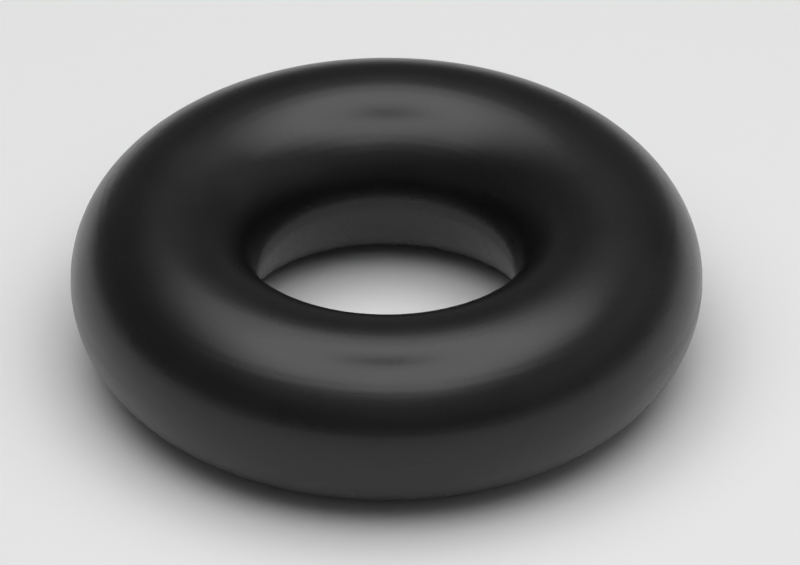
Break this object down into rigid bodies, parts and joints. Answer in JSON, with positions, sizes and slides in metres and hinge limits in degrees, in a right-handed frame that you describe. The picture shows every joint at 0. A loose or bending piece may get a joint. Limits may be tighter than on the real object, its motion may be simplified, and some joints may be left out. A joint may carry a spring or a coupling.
{
  "type": "rubber o-ring",
  "caption": "Thick sealing ring of round section, moulded whole in black rubber, with a narrow trimmed parting line in the bore and round the rim.",
  "frame": {"origin": "centre of the bore, on the parting plane half way up the ring", "axes": "+Z along the axis of the ring, which lies flat; X and Y are any two directions across it, because the ring is round"},
  "size_m": [0.0088, 0.0088, 0.0026],
  "materials": {
    "moulded_rubber": "satin black, as moulded"
  },
  "bodies": {
    "root": {"o_ring": "moulded_rubber"}
  },
  "joints": []
}
